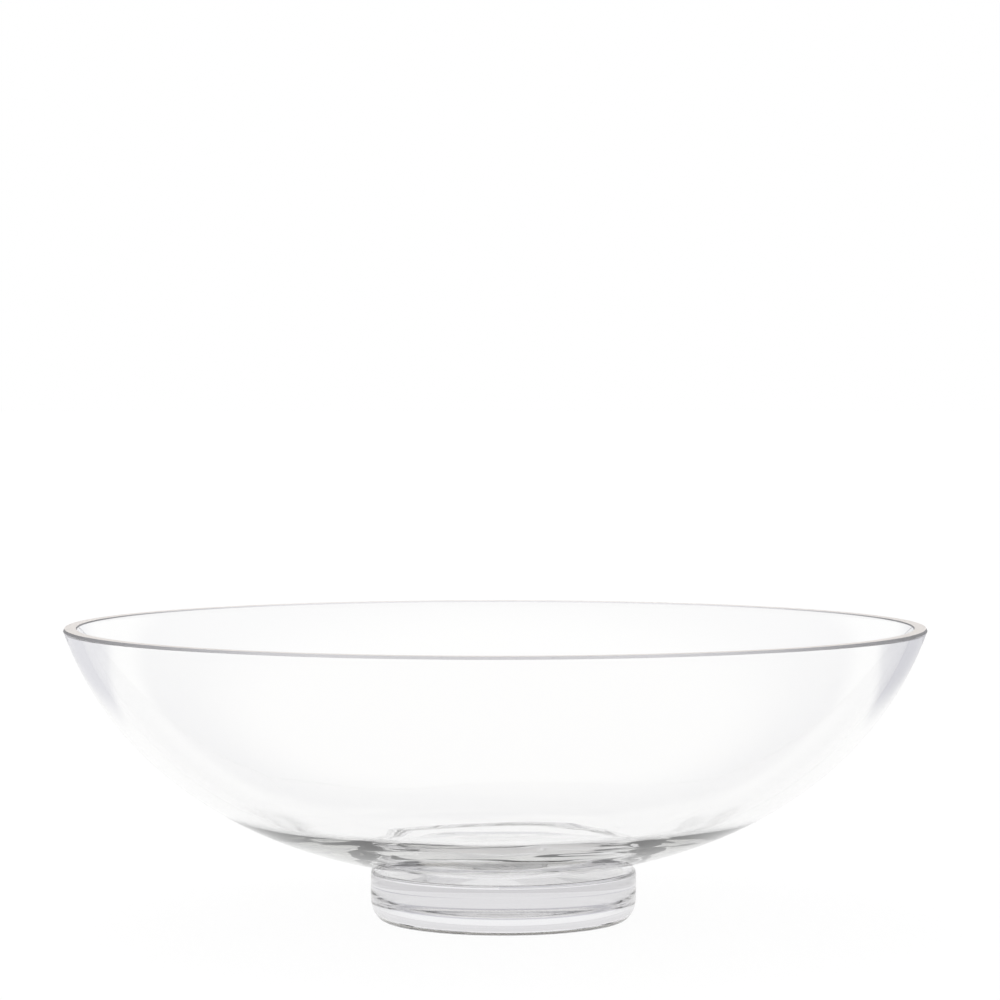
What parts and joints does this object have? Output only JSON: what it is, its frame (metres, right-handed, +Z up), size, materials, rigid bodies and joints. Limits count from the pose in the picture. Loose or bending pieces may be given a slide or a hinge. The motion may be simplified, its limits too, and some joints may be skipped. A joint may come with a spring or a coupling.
{
  "type": "glass fruit bowl",
  "caption": "Wide round clear-glass fruit bowl with a flat-ground rim and an even wall that runs into a thick dished base, on a thick solid glass foot.",
  "frame": {"origin": "on the table, under the middle of the rim: the middle of the box's bottom", "axes": "+Z up out of the bowl's mouth; +X towards the side to which the foot is set off, which is the picture's right; +Y away from the picture's camera"},
  "size_m": [0.35, 0.35, 0.12],
  "materials": {
    "bowl_glass": "clear, polished, ground rim",
    "foot_glass": "clear, polished, ground base"
  },
  "bodies": {
    "root": {"bowl": "bowl_glass", "foot": "foot_glass"}
  },
  "joints": []
}
